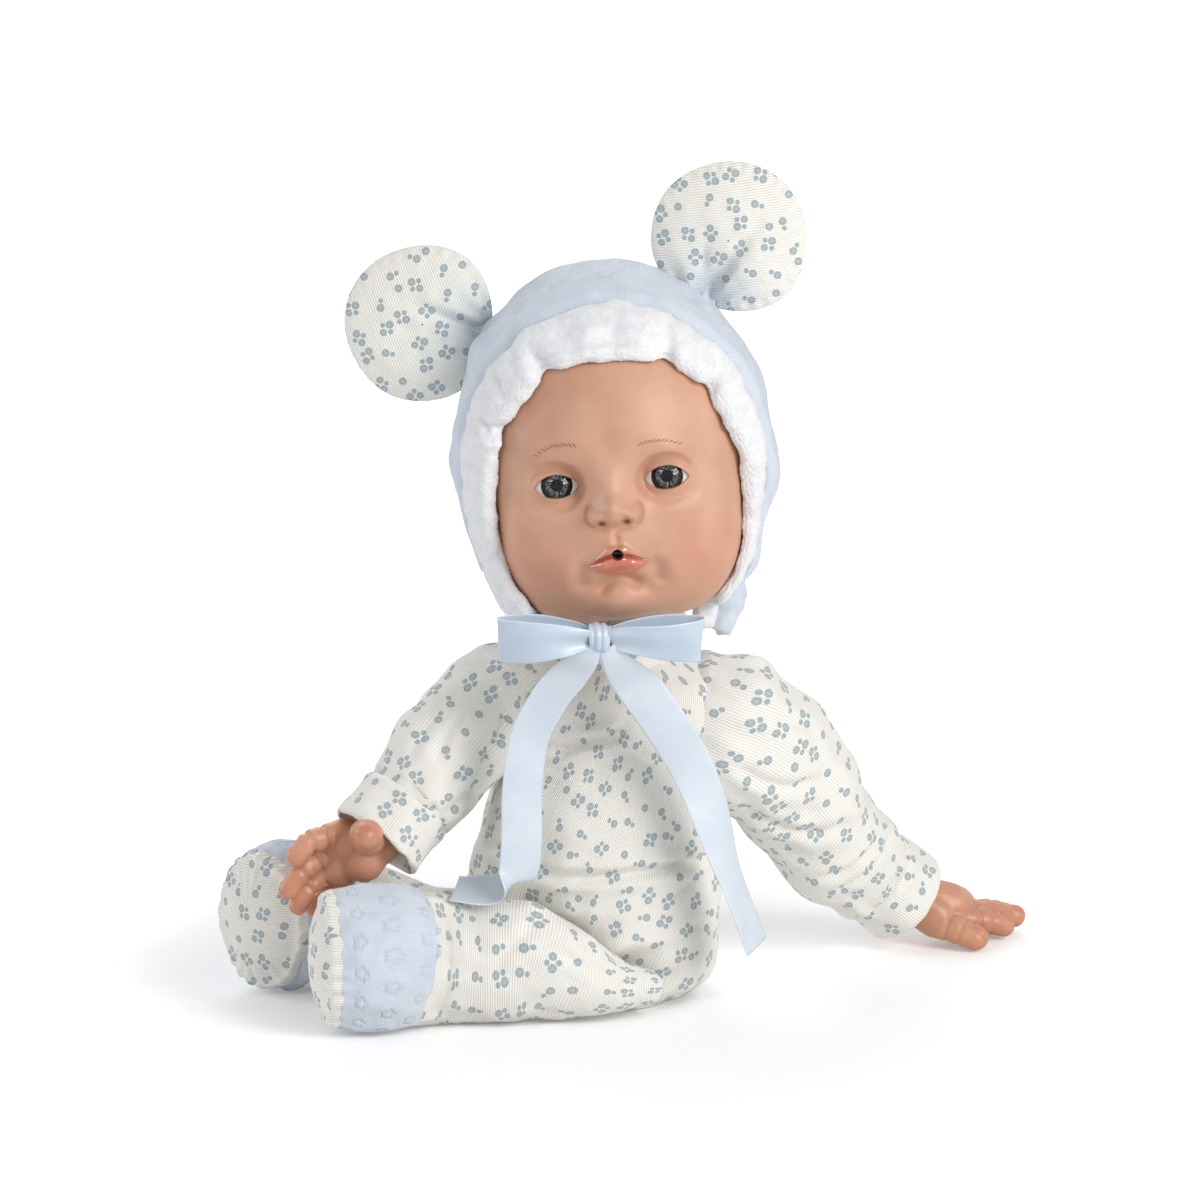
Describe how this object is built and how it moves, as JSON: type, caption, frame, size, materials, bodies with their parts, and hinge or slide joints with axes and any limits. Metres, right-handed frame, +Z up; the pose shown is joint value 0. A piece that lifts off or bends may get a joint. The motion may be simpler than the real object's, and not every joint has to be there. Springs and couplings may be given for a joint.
{
  "type": "interactive baby doll",
  "caption": "Seated soft-bodied baby doll with vinyl head and hands, lined bonnet with round ears, ribbon bow, print romper and a sound module in its back.",
  "frame": {"origin": "centre of the flat seat under the romper, on the surface the doll sits on", "axes": "+X to the doll's left, +Y behind the doll, +Z up"},
  "size_m": [0.2968, 0.1704, 0.3135],
  "materials": {
    "print_rib": "matt",
    "wadding": "matt",
    "satin": "satin",
    "face_vinyl": "satin",
    "hand_vinyl": "satin",
    "blue_knit": "matt",
    "blue_velour": "matt",
    "plush": "matt",
    "eye_white": "gloss",
    "iris": "gloss",
    "cornea": "clear",
    "coral_plastic": "gloss",
    "white_plastic": "matt",
    "pellets": "matt",
    "tape": "matt",
    "case_plastic": "matt",
    "steel": "satin",
    "board": "matt",
    "speaker_black": "matt",
    "cell_wrap": "gloss",
    "contact_metal": "satin",
    "lead_red": "matt"
  },
  "bodies": {
    "torso": {"seat_gusset": "print_rib", "romper_torso": "print_rib", "torso_filling": "wadding", "pellet_bag": "pellets", "neck_collar": "print_rib", "neck_tie": "white_plastic", "neck_socket": "white_plastic", "back_flap": "print_rib", "closure_strips": "tape", "case_front": "case_plastic", "case_back": "case_plastic", "battery_door": "case_plastic", "module_screws": "steel", "circuit_board": "board", "speaker": "speaker_black", "battery_tray": "white_plastic", "batteries": "cell_wrap", "battery_contacts": "contact_metal", "body_lead": "lead_red", "ribbon_tail_left": "satin", "ribbon_tail_right": "satin"},
    "power_switch": {"power_slider": "speaker_black"},
    "neck": {"neck_swivel": "white_plastic", "nod_pin": "steel", "bow_knot": "satin", "bow_loops": "satin"},
    "head": {"head_shell": "face_vinyl", "neck_plate": "white_plastic", "eyeballs": "eye_white", "irises": "iris", "corneas": "cornea", "mouth_cup": "coral_plastic", "mouth_switch": "speaker_black", "head_lead": "lead_red", "bonnet_lining": "plush", "bonnet_shell": "blue_knit", "bonnet_brim": "plush", "ear_fronts": "print_rib", "ear_backs": "blue_knit", "ear_wadding": "wadding", "chin_straps": "satin"},
    "plunger": {"mouth_plunger": "white_plastic"},
    "arm_left": {"sleeve_left": "print_rib", "arm_filling_left": "wadding", "cuff_left": "print_rib", "wrist_collar_left": "white_plastic"},
    "arm_right": {"sleeve_right": "print_rib", "arm_filling_right": "wadding", "cuff_right": "print_rib", "wrist_collar_right": "white_plastic"},
    "left_hand": {"hand_left": "hand_vinyl"},
    "right_hand": {"hand_right": "hand_vinyl"},
    "left_leg": {"leg_left": "print_rib", "leg_filling_left": "wadding", "foot_band_left": "blue_velour", "foot_sole_left": "print_rib"},
    "right_leg": {"leg_right": "print_rib", "leg_filling_right": "wadding", "foot_band_right": "blue_velour", "foot_sole_right": "print_rib"}
  },
  "joints": [
    {"name": "head_turn", "type": "hinge", "parent": "torso", "child": "neck", "pos_m": [0.008, -0.004, 0.13], "axis": [0, 0, 1], "range_deg": [-45, 45]},
    {"name": "head_nod", "type": "hinge", "parent": "neck", "child": "head", "pos_m": [0.008, -0.004, 0.143], "axis": [1, 0, 0], "range_deg": [-14, 0]},
    {"name": "mouth_press", "type": "slide", "parent": "head", "child": "plunger", "axis": [0.0393, 0.9896, -0.1385], "range_m": [0, 0.002], "stiffness_N_per_m": 250},
    {"name": "power_switch_slide", "type": "slide", "parent": "torso", "child": "power_switch", "axis": [0, 0, 1], "range_m": [0, 0.003]},
    {"name": "shoulder_left", "type": "hinge", "parent": "torso", "child": "arm_left", "pos_m": [0.054, 0.002, 0.107], "axis": [0, 1, 0], "range_deg": [-95, 0]},
    {"name": "shoulder_right", "type": "hinge", "parent": "torso", "child": "arm_right", "pos_m": [-0.043, -0.003, 0.106], "axis": [0, 1, 0], "range_deg": [0, 90]},
    {"name": "wrist_left", "type": "hinge", "parent": "arm_left", "child": "left_hand", "pos_m": [0.1, 0.052, 0.031], "axis": [0.6508, 0.5191, -0.554], "range_deg": [-40, 40]},
    {"name": "wrist_right", "type": "hinge", "parent": "arm_right", "child": "right_hand", "pos_m": [-0.07, -0.025, 0.0785], "axis": [-0.6113, -0.3978, -0.6841], "range_deg": [-40, 25]},
    {"name": "hip_left", "type": "hinge", "parent": "torso", "child": "left_leg", "pos_m": [0.017, -0.0345, 0.012], "axis": [0, 0, 1], "range_deg": [0, 80]},
    {"name": "hip_right", "type": "hinge", "parent": "torso", "child": "right_leg", "pos_m": [-0.047, -0.009, 0.019], "axis": [0, 0, 1], "range_deg": [-16, 3]}
  ]
}
